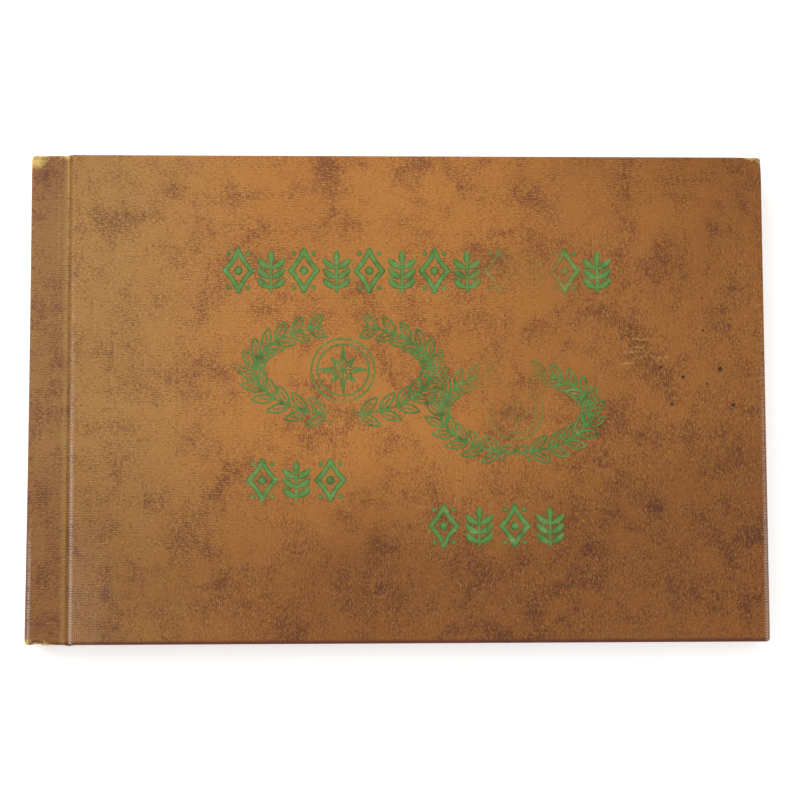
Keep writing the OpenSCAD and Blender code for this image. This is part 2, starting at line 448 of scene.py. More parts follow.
def wear_and_painted_light(finish, cloth, colour, runs, weave, marked):
    """The cloth's colour with its wear, dirt, painted shade and painted highlight on it, and where its
    threads are bare.
    """
    rag = finish.noise(0.5, 4.0, 0.7, seed=8.0)
    dashes = finish.noise(1.3, 3.0, 0.75, seed=9.0, stretch=(0.25, 1.0, 1.0))
    patches = finish.noise(0.06, 3.0, seed=10.0, stretch=(0.3, 1.0, 1.0))
    knots = ((finish.y + rag * 1.4) * (math.tau / 0.85)).sine().step(-0.6, 0.5) * 0.7 + 0.3
    bare = bare_threads(finish, runs, rag, dashes, patches, knots, marked)
    # Dirt, and painted shade on the shoulder, the walls and the groove.
    colour = finish.mix(colour, cloth.mottle, soiling_and_painted_shade(finish, runs, rag, dashes, patches, marked))
    if marked:
        stained = 0.0
        for place in SPOTS:
            stained = worn_spot(finish, *place, (rag - 0.5) * 0.6).most(stained)
        colour = finish.mix(colour, srgb(30, 30, 22), stained * 0.85)
    # Painted highlight along the edges and painted sheen over the board by the groove.
    painted_sheen = painted_edge_sheen(finish, cloth, runs, weave, rag, dashes, patches, knots)
    colour = finish.mix(colour, cloth.sheen, painted_sheen * 0.7)
    return finish.mix(colour, cloth.worn, bare), bare


def moved(places, runs):
    """Worn places with those on the strip moved to where they lie on the flat cloth."""
    return [(x + runs["strip_shift"] if x < RIDGE else x, *rest) for x, *rest in places]


# Worn, soiled and spotted places of the front, and the back's worn corners: x and y, then half widths.
CORNERS = (
    (FORE, HALF, 2.0, 1.4),
    (FORE, -HALF - 0.2, 1.4, 1.8),
)
WORN_PLACES = (
    (SPINE - 0.5, HALF + 1.0, 6.0, 5.4),
    (SPINE + 6.5, HALF + 0.6, 5.4, 0.8),
    (SPINE + 0.1, -HALF - 0.6, 2.0, 2.6),
    (SPINE + 6.5, -HALF - 0.8, 5.5, 1.3),
    (FORE - 2.6, HALF + 0.4, 3.8, 1.2),
    (FORE + 0.2, HALF - 0.6, 1.0, 2.0),
    (RIDGE - 0.001, HALF + 0.3, 1.6, 1.5),
)
SCRATCHES = (
    (76.5, 18.1, 6.0, 0.4),
    (74.5, 15.7, 3.0, 0.3),
    (71.7, 14.0, 2.4, 0.5),
    (79.0, 12.5, 4.4, 0.6),
    (71.3, 10.6, 3.4, 0.4),
    (85.0, 11.5, 1.6, 0.4),
)
SOILED_PLACES = (
    (SPINE + 7.0, HALF - 6.5, 5.0, 4.5),
    (SPINE + 7.5, 6.0 - HALF, 4.5, 5.5),
)
SPOTS = (
    (100.3, 8.8, 0.85, 0.85),
    (88.6, 6.3, 0.6, 0.5),
    (81.7, 9.4, 0.55, 0.5),
    (85.0, -2.2, 0.6, 0.5),
    (104.2, -2.5, 0.5, 0.6),
    (96.1, 4.1, 0.4, 0.5),
    (95.0, 21.0, 0.4, 0.4),
)


def case_finish(name, runs, seed=0.0, marked=True):
    """The case cloth. Marked is for the front, with its own scratches, spots and fraying."""
    cloth = bpy.context.scene.logbook_cloth
    finish = Finish(name, CLOTH_MAP, seed)
    colour, weave, grain = cloth_surface(finish, cloth)
    colour, bare = wear_and_painted_light(finish, cloth, colour, runs, weave, marked)
    roughness = grain * 0.16 + bare * 0.2 + 0.47
    height = weave * 0.8 + grain * 0.5 - bare * 0.9
    return finish.close(colour, roughness, height, 0.06, Specular_IOR_Level=0.25)


def stamping_finish(name):
    """Stamped colour that has partly rubbed off, on the same cloth."""
    cloth = bpy.context.scene.logbook_cloth
    finish = Finish(name, CLOTH_MAP)
    colour, weave, grain = cloth_surface(finish, cloth)
    rim = finish.parts(finish.node("UVMap", {"uv_map": STROKE_MAP}))[0]
    rubbed = finish.noise(0.05, 3.0, 0.6, seed=20.0) * 0.8 + grain * 0.35 - weave * 0.08
    rubbed = rubbed.step(0.60, 0.80)
    rubbed = rubbed.most(grain.step(0.60, 0.72) * 0.6)
    for place in RUBBED_PLACES:
        rubbed = rubbed.most(worn_spot(finish, *place, (grain - 0.5) * 2.6) * 0.9)
    patchy = finish.noise(0.3, 3.0, 0.7, seed=21.0)
    ink = finish.mix(cloth.ink, cloth.ink_edge, (rim * 0.7 + patchy.step(0.48, 0.68) * 0.7).least(1.0))
    ink = finish.mix(ink, srgb(128, 164, 104), patchy.step(0.46, 0.32) * 0.5)
    ink = finish.mix(ink, cloth.tan, weave * 0.16)
    colour = finish.mix(ink, colour, rubbed)
    height = weave * 0.8 + grain * 0.5
    return finish.close(colour, grain * 0.2 + 0.42, height, 0.05, Specular_IOR_Level=0.25)


# Where the stamping has rubbed away: its middle on the front cover, then half widths.
RUBBED_PLACES = (
    (39.0, 39.0, 14.0, 10.0),
    (34.0, 2.0, 12.0, 15.0),
    (-18.0, -5.0, 5.0, 5.0),
)


# The leaves' table: its upright lines from the leaf's left edge, where they end, and a rule's height.
TABLE_COLUMNS = (10.0, 38.0, 52.0, 80.0, 108.0, 126.0, 152.0, 180.0, 206.0)
TABLE_TOP = 60.0
TABLE_FOOT = -66.4
FIRST_RULE = 40.0


def paper_finish(name, sheet_colour, edge, ruled, age=0.75):
    """Aged paper, ruled as a plain log table if asked. Edge is the page's box, in millimetres."""
    paper = bpy.context.scene.logbook_paper
    finish = Finish(name, PAGE_MAP, seed=age * 20)
    (left, bottom), (right, top) = edge
    x, y = finish.x, finish.y
    fibre = finish.noise(1.2, 3.0, 0.7, seed=1.0, stretch=(0.6, 1.0, 1.0))
    tone = finish.noise(0.03, 4.0, 0.6, seed=2.0)
    border = (x - left).least(right - x).least((y - bottom).least(top - y))
    edge_tone = finish.noise(0.12, 4.0, 0.7, seed=4.0)
    browned = (border + (tone - 0.5) * 7 + (edge_tone - 0.5) * 6).step(4.2, -0.8)
    foxing = finish.noise(0.16, 3.0, 0.7, seed=3.0).step(0.70, 0.80) * 0.4
    colour = finish.mix(sheet_colour, paper.aged, (browned * age).most(foxing))
    colour = finish.mix(colour, paper.aged, fibre.step(0.55, 0.8) * 0.10 + tone.step(0.45, 0.7) * 0.14)
    if ruled:
        above_foot = y.step(TABLE_FOOT, TABLE_FOOT + 0.4)
        across = abs((y - FIRST_RULE).wrap(paper.line_pitch) - paper.line_pitch / 2).step(0.18, 0.08)
        across = across * x.step(right - 7.0, right - 7.4) * y.step(TABLE_TOP, TABLE_TOP - 0.4)
        down = 0.0
        for column in TABLE_COLUMNS:
            down = abs(x - (left + column)).step(0.2, 0.1).most(down)
        down = down * y.step(TABLE_TOP - 0.2, TABLE_TOP - 0.5)
        lines = across.most(down) * above_foot
        colour = finish.mix(colour, paper.rule, lines * (fibre * 0.5 + 0.35))
    return finish.close(colour, fibre * 0.1 + 0.82, fibre, 0.03, Specular_IOR_Level=0.25)


def millboard_finish():
    """Yellow-brown strawboard with flecks of fibre."""
    finish = Finish("millboard")
    fleck = finish.noise(1.1, 4.0, 0.75, seed=1.0, stretch=(0.4, 1.0, 1.0))
    colour = finish.mix(srgb(168, 138, 94), srgb(112, 86, 56), fleck.step(0.42, 0.7))
    return finish.close(colour, fleck * 0.1 + 0.85, fleck, 0.06)


def kraft_finish():
    """Brown kraft paper, with fibres along it."""
    finish = Finish("kraft_paper")
    fibre = finish.noise(1.6, 4.0, 0.7, seed=1.0, stretch=(1.0, 0.2, 1.0))
    colour = finish.mix(srgb(172, 130, 84), srgb(128, 90, 54), fibre.step(0.35, 0.7))
    return finish.close(colour, fibre * 0.1 + 0.78, fibre, 0.04)


def gauze_finish():
    """Open-weave mull, stiff with glue."""
    finish = Finish("mull_gauze")
    pitch = math.tau / 0.9
    weft = (finish.y * pitch).sine() * 0.5 + 0.5
    warp = ((finish.x + finish.z) * pitch).sine() * 0.5 + 0.5
    weave = weft.most(warp)
    glue = finish.noise(0.2, 3.0, seed=2.0)
    colour = finish.mix(srgb(170, 140, 92), srgb(226, 216, 188), weave.step(0.45, 0.9))
    colour = finish.mix(colour, srgb(150, 108, 58), glue.step(0.5, 0.75) * 0.5)
    return finish.close(colour, glue * 0.3 + 0.6, weave, 0.12)


def margin_finish():
    """The edges of the bound leaves, one line for each."""
    paper = bpy.context.scene.logbook_paper
    finish = Finish("bound_leaf_edges")
    pitch = box_mm("leaf_01")[1].z - box_mm("leaf_02")[1].z
    wander = (finish.noise(0.06, 2.0, seed=1.0) - 0.5) * 0.12
    lines = abs((finish.z + wander).wrap(pitch) / pitch - 0.5).step(0.5, 0.25)
    tone = finish.noise(0.4, 4.0, 0.7, seed=2.0)
    colour = finish.mix(paper.aged, paper.leaf, lines * 0.35 + tone * 0.2)
    return finish.close(colour, tone * 0.1 + 0.8, lines, 0.1)


def wire_finish():
    """Steel stitching wire, dulled and spotted with rust."""
    finish = Finish("stitching_wire")
    spots = finish.noise(1.2, 4.0, 0.7, seed=1.0).step(0.5, 0.68)
    colour = finish.mix(srgb(168, 166, 160), srgb(112, 66, 38), spots)
    return finish.close(colour, spots * 0.45 + 0.32, spots, 0.03, Metallic=1.0)


# ------------------------------------------------------------------ building


def new_object(name, mesh, finish):
    """A mesh as a shaded object with its one finish."""
    made = bpy.data.objects.new(name, mesh)
    bpy.context.scene.collection.objects.link(made)
    made.data.materials.append(finish)
    made.data.shade_smooth()
    return made


def thicken(made, thickness, offset):
    """Gives a sheet its thickness, in millimetres, as real faces."""
    solid = made.modifiers.new("thickness", "SOLIDIFY")
    solid.thickness = thickness * MM
    solid.offset = offset
    solid.use_even_offset = False
    graph = bpy.context.evaluated_depsgraph_get()
    mesh = bpy.data.meshes.new_from_object(made.evaluated_get(graph))
    made.modifiers.clear()
    old, made.data = made.data, mesh
    mesh.name = made.name
    bpy.data.meshes.remove(old)
    mesh.shade_smooth()


class Skin:
    """Collects grids of points and welds them into one sheet."""

    def __init__(self):
        self.points = []
        self.flats = []
        self.faces = []

    def grid(self, columns, keep=None):
        """Adds a grid, as columns of (point, flat place). keep(i, j) says which cells are cloth."""
        first = len(self.points)
        tall = len(columns[0])
        for column in columns:
            for point, flat in column:
                self.points.append(point)
                self.flats.append(flat)
        for i in range(len(columns) - 1):
            for j in range(tall - 1):
                if keep is None or keep(i, j):
                    corner = first + i * tall + j
                    self.faces.append((corner, corner + 1, corner + tall + 1, corner + tall))

    def mesh(self, name, uv_map, outward=None):
        """The welded mesh, in metres. outward is a direction that its farthest face should look in."""
        mesh = bpy.data.meshes.new(name)
        mesh.from_pydata([Vector(point) * MM for point in self.points], [], self.faces)
        layer = mesh.uv_layers.new(name=uv_map)
        for loop in mesh.loops:
            layer.data[loop.index].uv = Vector(self.flats[loop.vertex_index]) * MM
        sheet = bmesh.new()
        sheet.from_mesh(mesh)
        bmesh.ops.remove_doubles(sheet, verts=sheet.verts, dist=0.002 * MM)
        bmesh.ops.dissolve_degenerate(sheet, edges=sheet.edges, dist=0.001 * MM)
        bmesh.ops.recalc_face_normals(sheet, faces=sheet.faces)
        if outward:
            way = Vector(outward)
            farthest = max(sheet.faces, key=lambda face: face.calc_center_median().dot(way))
            if farthest.normal.dot(way) < 0:
                bmesh.ops.reverse_faces(sheet, faces=sheet.faces)
        sheet.to_mesh(mesh)
        sheet.free()
        return mesh


def fillet(distance, radius):
    """How far a surface has dropped, this far in from an edge rounded to this radius."""
    inside = min(max(radius - distance, 0.0), radius)
    return radius - math.sqrt(max(radius * radius - inside * inside, 0.0))


def inward_steps(radius, length, marks=()):
    """Distances in from an edge: close together over its rounding, then wider and wider."""
    arc = [radius * (1 - math.cos(math.radians(angle))) for angle in range(0, 91, 15)]
    steps = arc + [distance for distance in marks if distance > radius]
    distance, step = radius, 0.5
    while distance + step < length - 0.3:
        distance += step
        step = min(step * 1.25, 5.0)
        if all(abs(distance - mark) > 0.3 for mark in marks):
            steps.append(distance)
    return sorted(steps)


def rounded_outline(corners, step):
    """An outline through (x, z, radius) corners, as (x, z, out_x, out_z) at each step along it."""
    line = []

    def add(x, z, out):
        if not line or math.hypot(x - line[-1][0], z - line[-1][1]) > 0.01:
            line.append((x, z, out[0], out[1]))

    here = Vector(corners[0][:2])
    for index in range(1, len(corners)):
        corner, radius = Vector(corners[index][:2]), corners[index][2]
        last = index + 1 == len(corners)
        way = (corner - here).normalized()
        turned = way if last else (Vector(corners[index + 1][:2]) - corner).normalized()
        out, turned_out = Vector((way.y, -way.x)), Vector((turned.y, -turned.x))
        turn = way.angle(turned)
        start = corner - way * radius * math.tan(turn / 2)
        straight = (start - here).length
        pieces = max(1, round(straight / step))
        for piece in range(pieces + 1):
            add(*here.lerp(start, piece / pieces), out)
        if last:
            break
        bend = 1 if way.cross(turned) > 0 else -1
        centre = start - out * bend * radius
        arcs = max(4, math.ceil(radius * turn / 0.3))
        for arc in range(1, arcs + 1):
            share = turn * arc / arcs
            side = (out * math.sin(turn - share) + turned_out * math.sin(share)) / math.sin(turn)
            add(*(centre + side * bend * radius), side)
        here = corner + turned * radius * math.tan(turn / 2)
    return line


class Station:
    """One line across the case, from head to tail: a point of its outline and what lies behind it."""

    def __init__(self, x, z, out, run, foot, fore=None):
        self.x, self.z, self.out, self.run, self.foot, self.fore = x, z, out, run, foot, fore
        self.depth = math.hypot(x - foot[0], z - foot[1])


def foot_of(x, z):
    """Where the turned-in cloth lies behind a point of the case's outline."""
    if x > NEAR - 0.01:
        return (x, INSIDE)
    soft = 0.4
    low, high = THICKNESS - INSIDE + CLOTH + soft, INSIDE - CLOTH - soft
    core = (max(x, MARGIN_LO.x + soft), min(max(z, low), high))
    away = math.hypot(x - core[0], z - core[1])
    return (core[0] + (x - core[0]) / away * soft, core[1] + (z - core[1]) / away * soft)


def case_stations(with_spine):
    """The stations of the front cover's cloth, from its fore edge to the ridge or round the spine."""
    cloth = bpy.context.scene.logbook_cloth
    lead = NEAR + cloth.edge_radius + 0.05
    top, lap = THICKNESS, RIDGE - 0.7
    stations = []
    for distance in inward_steps(cloth.edge_radius, FORE - lead, (TURN_IN,)):
        x = FORE - distance
        stations.append(Station(x, top, (0, 1), x, foot_of(x, top), distance))
    corners = [
        (lead, top, 0),
        (NEAR, top, cloth.edge_radius),
        (NEAR, GROOVE, cloth.crease_radius),
        (RIDGE, STRIP_TOP, cloth.ridge_radius),
    ]
    if with_spine:
        corners += [
            (SPINE, STRIP_TOP, cloth.shoulder_radius),
            (SPINE, top - STRIP_TOP, cloth.shoulder_radius),
            (lap, top - STRIP_TOP, 0),
        ]
    else:
        corners.append((lap, STRIP_TOP, 0))
    run = lead
    before = (lead, top)
    for x, z, out_x, out_z in rounded_outline(corners, 0.6):
        run -= math.hypot(x - before[0], z - before[1])
        before = (x, z)
        stations.append(Station(x, z, (out_x, out_z), run, foot_of(x, z)))
    return stations


def corner_place(fore, end):
    """How far in from the fore edge and the end a point is, once the cover's corner is rounded."""
    radius = bpy.context.scene.logbook_cloth.corner_radius
    across, along = radius - fore, radius - end
    if across <= 0 or along <= 0:
        return fore, end
    pull = max(across, along) / math.hypot(across, along)
    return radius - across * pull, radius - along * pull


def worn_shape(x, y, z):
    """The case's own wear: the spine leans out at the tail, with blunt corners and a tuck in its foot."""
    cloth = bpy.context.scene.logbook_cloth
    tail = (HALF - y) / (2 * HALF)
    out = eased((RIDGE - x) / (RIDGE - SPINE))
    across, along = BLUNT - (x - SPINE), BLUNT - (HALF - abs(y))
    if across > 0 and along > 0:
        pull = 1 - min(BLUNT / math.hypot(across, along), 1.0)
        x += across * pull
        y -= math.copysign(along * pull, y)
    x -= cloth.spine_lean * tail * tail * out
    at_tuck = max(1 - abs(x - TUCK["x"]) / TUCK["reach"], 0.0)
    up_from_foot = HALF + y
    y += TUCK["depth"] * at_tuck * min(max(1 - up_from_foot / TUCK["length"], 0.0), 1.0)
    groove = 1 - abs(x - (RIDGE + NEAR) / 2) / GROOVE_MOUTH
    end = (abs(y) - HALF) / GROOVE_MOUTH_LENGTH + 1
    if groove > 0 and end > 0 and min(z, THICKNESS - z) > THICKNESS - INSIDE - CLOTH * 2:
        lift = (SLACK + 0.5) * min(groove * 1.6, 1.0) * end * end
        z += lift if z > THICKNESS / 2 else -lift
    for at_x, at_y, reach, drop in DENTS:
        near = 1 - math.hypot(x - at_x, y - at_y) / reach
        if near > 0 and z > THICKNESS / 2:
            z -= drop * eased(near)
    return x, y, z


TUCK = {"x": SPINE + 2.9, "reach": 1.8, "length": 2.5, "depth": 1.1}     # in the foot of the spine
GROOVE_MOUTH = 1.1                    # half the width that the groove's pinched ends spread over
GROOVE_MOUTH_LENGTH = 2.0             # and how far they run along it

# Crushed places of the front: x, y, how far they reach and how deep they are.
DENTS = (
    (FORE, HALF, 7.0, 0.45),
    (FORE, -HALF, 4.0, 0.2),
    (SPINE + 1.5, -HALF, 3.5, 0.2),
    (SPINE + 2.5, HALF, 5.0, 0.15),
)


def case_skin(stations, back):
    """The cloth over one cover, turned in at its edges, and round the spine if its stations go there."""
    cloth = bpy.context.scene.logbook_cloth
    radius, inner = cloth.edge_radius, 0.35
    ends = inward_steps(radius, HALF, (TURN_IN, END_TURN_IN))
    rows = [(-1, distance) for distance in ends] + [(1, distance) for distance in reversed(ends)]
    skin = Skin()

    def place(x, y, z):
        x, y, z = worn_shape(x, y, z)
        return (x, y, THICKNESS - z) if back else (x, y, z)

    def flat(run, side, distance, past=0.0):
        return (run, side * (HALF - distance + past))

    def outer(station, side, distance):
        rounding = min(radius, station.depth * 0.5)
        if station.fore is None:
            drop = fillet(distance * rounding / radius, rounding) if distance < radius else 0.0
            x = station.x - station.out[0] * drop
            z = station.z - station.out[1] * drop
            end = distance * rounding / radius if distance < radius else distance
            return place(x, side * (HALF - end), z)
        fore, end = corner_place(station.fore, distance)
        drop = fillet(min(station.fore, distance), radius)
        return place(FORE - fore, side * (HALF - end), station.z - drop)

    def foot(station, side, distance):
        x, z = station.foot
        if station.fore is None:
            drop = fillet(distance, min(inner, station.depth * 0.3)) / max(station.depth, 0.01)
            x += (station.x - x) * drop
            z += (station.z - z) * drop
            return place(x, side * (HALF - distance), z)
        fore, end = corner_place(station.fore, distance)
        drop = fillet(min(station.fore, distance), inner)
        return place(FORE - fore, side * (HALF - end), z + drop)

    skin.grid([
        [(outer(s, side, d), flat(s.run, side, d)) for side, d in rows] for s in stations
    ])
    rises = [share / 4 for share in range(5)]
    for side in (-1, 1):
        wall = []
        for station in stations:
            high, low = Vector(outer(station, side, 0.0)), Vector(foot(station, side, 0.0))
            deep = (high - low).length
            wall.append([(high.lerp(low, t), flat(station.run, side, 0.0, deep * t)) for t in rises])
        skin.grid(wall)
    fore_wall = []
    for side, distance in rows:
        high = Vector(outer(stations[0], side, distance))
        low = Vector(foot(stations[0], side, distance))
        deep = (high - low).length
        fore_wall.append([
            (high.lerp(low, t), (FORE + deep * t, flat(FORE, side, distance)[1])) for t in rises
        ])
    skin.grid(fore_wall)

    def turned_in(i, j):
        middle = min(rows[j][1], rows[j + 1][1])
        if stations[i + 1].fore is None and stations[i + 1].x < NEAR - 0.01:
            return middle < END_TURN_IN - 0.01 and rows[j][0] == rows[j + 1][0]
        fore = stations[i].fore
        at_fore = fore is not None and fore < TURN_IN - 0.01
        return at_fore or (middle < TURN_IN - 0.01 and rows[j][0] == rows[j + 1][0])

    skin.grid([
        [(foot(s, side, d), (s.run, flat(0, side, d, 3.0)[1])) for side, d in rows] for s in stations
    ], turned_in)
    return skin


def cloth_runs(stations):
    """How far along the flat cloth its worn lines are, found on its own outline."""
    def nearest(x, z):
        return min(stations, key=lambda s: math.hypot(s.x - x, s.z - z)).run
    return {
        "near_edge": nearest(NEAR, THICKNESS),
        "groove": nearest((NEAR + RIDGE) / 2, GROOVE),
        "ridge": nearest(RIDGE, STRIP_TOP),
        "shoulder": nearest(SPINE, STRIP_TOP),
        "strip_shift": nearest((SPINE + RIDGE) / 2, STRIP_TOP) - (SPINE + RIDGE) / 2,
    }


def cut_size(stations):
    """The flat cut of a case cloth, across the book and from head to tail, in metres."""
    wall = THICKNESS - INSIDE
    across = stations[0].run - stations[-1].run + wall + TURN_IN
    return across * MM, 2 * (HALF + wall + TURN_IN) * MM


def joint_point(x, z):
    """A point of the joint line, in metres."""
    return (x * MM, 0.0, z * MM)


def paper_sheet(name, finish, columns, rows, height, thickness):
    """A sheet of paper through these columns and rows. height(x, y) is its middle."""
    skin = Skin()
    skin.grid([[((x, y, height(x, y)), (x, y)) for y in rows] for x in columns])
    made = new_object(name, skin.mesh(name, PAGE_MAP, (0, 0, 1)), finish)
    thicken(made, thickness, 0.0)
    return made


def even_steps(low, high, step):
    """Evenly spaced values from low to high, about a step apart."""
    count = max(1, round((high - low) / step))
    return [low + (high - low) * index / count for index in range(count + 1)]


# ------------------------------------------------------------------ stamping


RIM = ((1.0, 1.0), (0.66, 0.0))       # a wide stroke: its dark rim, then its paler middle
FINE = ((1.0, 0.35),)                 # a fine stroke has no rim


def stroke_sides(points, widths, closed):
    """The two sides of a stroke through the points, as pairs."""
    count = len(points)
    pairs = []
    for index, point in enumerate(points):
        before = points[(index - 1) % count] if closed or index else point
        after = points[(index + 1) % count] if closed or index + 1 < count else point
        way = (Vector(after) - Vector(before)).normalized()
        side = Vector((-way.y, way.x)) * widths[index] / 2
        pairs.append((Vector(point) + side, Vector(point) - side))
    return pairs + pairs[:1] if closed else pairs


def round_sides(centre, radius):
    """A round spot, as pairs of its middle and its rim."""
    middle = Vector(centre)
    turns = even_steps(0.0, math.tau, math.tau / 14)
    return [(middle, middle + Vector((math.cos(turn), math.sin(turn))) * radius) for turn in turns]


class Stamp:
    """One stamped area: strokes drawn in millimetres on the front cover."""

    def __init__(self):
        self.skin = Skin()
        self.count = 0

    def strip(self, pairs, layer, tone):
        """Faces between pairs of points, a hair above the strokes before."""
        height = THICKNESS + 0.03 + 0.04 * layer + 0.0005 * self.count
        self.count += 1
        self.skin.grid([[((p.x, p.y, height), (tone, 0)) for p in pair] for pair in pairs])

    def line(self, points, width, closed=False):
        """A stroke through points, with round ends if it is open."""
        for layer, (share, tone) in enumerate(RIM if width > 1.0 else FINE):
            self.strip(stroke_sides(points, [width * share] * len(points), closed), layer, tone)
            if not closed:
                for end in (points[0], points[-1]):
                    self.strip(round_sides(end, width * share / 2), layer, tone)

    def spot(self, centre, radius):
        """A round spot."""
        for layer, (share, tone) in enumerate(RIM):
            self.strip(round_sides(centre, radius * share), layer, tone)

    def leaf(self, base, tip, fat, rise):
        """A solid pointed leaf on a bowed line from base to tip."""
        points = bow(base, tip, rise, 8)
        for layer, (share, tone) in enumerate(RIM):
            widths = [fat * share * math.sin(math.pi * (index + 0.4) / 9.0) for index in range(9)]
            self.strip(stroke_sides(points, widths, False), layer, tone)

    def made(self, name, finish):
        """The stamped area as an object, with the cloth's own flat places for its pattern."""
        mesh = bpy.data.meshes.new(name)
        mesh.from_pydata([Vector(point) * MM for point in self.skin.points], [], self.skin.faces)
        flat = mesh.uv_layers.new(name=CLOTH_MAP)
        stroke = mesh.uv_layers.new(name=STROKE_MAP)
        for loop in mesh.loops:
            x, y, _ = self.skin.points[loop.vertex_index]
            flat.data[loop.index].uv = (x * MM, y * MM)
            stroke.data[loop.index].uv = self.skin.flats[loop.vertex_index]
        sheet = bmesh.new()
        sheet.from_mesh(mesh)
        bmesh.ops.dissolve_degenerate(sheet, edges=sheet.edges, dist=0.001 * MM)
        for face in sheet.faces:
            if face.normal.z < 0:
                face.normal_flip()
        sheet.to_mesh(mesh)
        sheet.free()
        return new_object(name, mesh, finish)


def bow(start, end, rise, count=10):
    """Points along a bowed line from start to end, with its middle pushed out by rise."""
    start, end = Vector(start), Vector(end)
    way = end - start
    side = Vector((-way.y, way.x)).normalized()
    return [
        start + way * t + side * rise * 4 * t * (1 - t)
        for t in (index / count for index in range(count + 1))
    ]


def almond(base, tip, fat):
    """The closed outline of a pointed leaf."""
    return bow(base, tip, fat)[:-1] + bow(tip, base, fat)[:-1]


def lozenge_ornament(stamp, x, y, wide, tall, width):
    """A tall lozenge with a spot in it and a small spot at each side of its head and foot."""
    points = [(x, y + tall / 2), (x + wide / 2, y), (x, y - tall / 2), (x - wide / 2, y)]
    for start, end in zip(points, points[1:] + points[:1]):
        stamp.line(bow(start, end, -0.4, 6), width)
    stamp.spot((x, y), width * 0.85)
    for side in (-1, 1):
        for end in (-1, 1):
            stamp.spot((x + side * wide * 0.36, y + end * tall * 0.42), width * 0.45)


def sprig_ornament(stamp, x, y, wide, tall, width):
    """An upright sprig: a stem with three pairs of solid leaves and one at its head."""
    foot, head = y - tall / 2, y + tall / 2
    stamp.line([(x, foot), (x, head - tall * 0.3)], width * 0.65)
    stamp.leaf((x, head - tall * 0.36), (x, head), wide * 0.26, 0.0)
    for share in (0.08, 0.32, 0.56):
        base = foot + tall * share
        for side in (-1, 1):
            tip = (x + side * wide / 2, base + tall * 0.24)
            stamp.leaf((x, base), tip, wide * 0.27, -side * 0.5)


def ornament_row(stamp, first, last, count, y, tall):
    """A row of lozenges and sprigs, turn about, with the first and last at these places."""
    width, wide = bpy.context.scene.logbook_cloth.ink_width, 8.4
    for index in range(count):
        stamp.count = 0
        x = first + (last - first) * index / (count - 1)
        draw = sprig_ornament if index % 2 else lozenge_ornament
        draw(stamp, x, y, wide, tall, width)


def wreath(stamp, centre, across, along, leaves, size):
    """An oval wreath: two branches with this many pairs of leaves, that nearly meet at its head."""
    width = bpy.context.scene.logbook_cloth.emblem_width
    last = leaves * 3
    turns = even_steps(math.radians(-84), math.radians(76), math.radians(160) / last)
    for side in (-1, 1):
        stem = [
            Vector((centre[0] + side * math.cos(turn) * across, centre[1] + math.sin(turn) * along))
            for turn in turns
        ]
        stamp.line(stem, width)
        for index in range(leaves):
            at = stem[index * 3 + 1]
            way = (stem[index * 3 + 2] - at).normalized()
            for turn in (-0.62, 0.62):
                turned = way.copy()
                turned.rotate(Matrix.Rotation(turn, 2))
                end = at + turned * size * (1.0 - 0.2 * index / leaves)
                stamp.line(almond(at, end, size * 0.17), width, closed=True)
                stamp.line(bow(at, at + (end - at) * 0.7, 0.0, 4), width * 0.7)
    foot = (centre[0], centre[1] - along)
    for side in (-1, 1):
        stamp.line(bow(foot, (foot[0] + side * 4.4, foot[1] - 2.6), side * 0.8), width)
        stamp.line(almond(foot, (foot[0] + side * 4.0, foot[1] + 1.8), 1.0), width, closed=True)


def compass(stamp, centre, radius):
    """An eight-pointed star in a double ring."""
    width = bpy.context.scene.logbook_cloth.emblem_width
    middle = Vector(centre)

    def at(turn, far):
        return middle + Vector((math.sin(turn), math.cos(turn))) * far

    for ring in (radius, radius - 1.8):
        turns = even_steps(0.0, math.tau, math.tau / 60)[:-1]
        stamp.line([at(turn, ring) for turn in turns], width, closed=True)
    for index in range(8):
        turn = math.tau * index / 8
        long = radius - 2.6 if index % 2 == 0 else radius * 0.52
        for waist in (turn - math.pi / 8, turn + math.pi / 8):
            stamp.line([at(turn, long), at(waist, radius * 0.24)], width)
        stamp.line([at(turn, long), middle], width * 0.8)


# ------------------------------------------------------------------ operators


class LOGBOOK_OT_studio(Operator):
    """Set up the pale floor, the soft lights and the camera."""

    bl_idname = "logbook.studio"
    bl_label = "Studio"

    def execute(self, context):
        studio = context.scene.logbook_studio
        data = bpy.data.cameras.new("camera")
        data.lens = studio.lens
        camera = bpy.data.objects.new("camera", data)
        camera.location = studio.camera_at
        camera.rotation_euler = studio.camera_turn
        context.scene.collection.objects.link(camera)
        context.scene.camera = camera
        self.light(context, "key_light", (-0.55, 0.45, 0.75), size=0.7, power=studio.key)
        self.light(context, "fill_light", (0.7, -0.5, 0.6), size=1.0, power=studio.key * 0.35)
        world = bpy.data.worlds.new("surroundings")
        world.use_nodes = True
        sky = world.node_tree.nodes["Background"]
        sky.inputs["Color"].default_value = (1.0, 1.0, 1.0, 1.0)
        sky.inputs["Strength"].default_value = studio.sky
        context.scene.world = world
        context.scene.view_settings.view_transform = "Standard"
        mesh = bpy.data.meshes.new("floor")
        half = 4.0
        corners = [(-half, -half, 0), (half, -half, 0), (half, half, 0), (-half, half, 0)]
        mesh.from_pydata(corners, [], [(0, 1, 2, 3)])
        finish = Finish("pale_floor")
        glow = {"Emission_Color": (1.0, 1.0, 1.0, 1.0), "Emission_Strength": studio.glow}
        floor = new_object("floor", mesh, finish.close(studio.floor, 0.9, **glow))
        floor.location.z = -0.05 * MM
        return {"FINISHED"}

    def light(self, context, name, place, size, power):
        """A square lamp that looks at the book."""
        data = bpy.data.lights.new(name, "AREA")
        data.size = size
        data.energy = power
        lamp = bpy.data.objects.new(name, data)
        lamp.location = place
        lamp.rotation_euler = (-Vector(place)).to_track_quat("-Z", "Y").to_euler()
        context.scene.collection.objects.link(lamp)


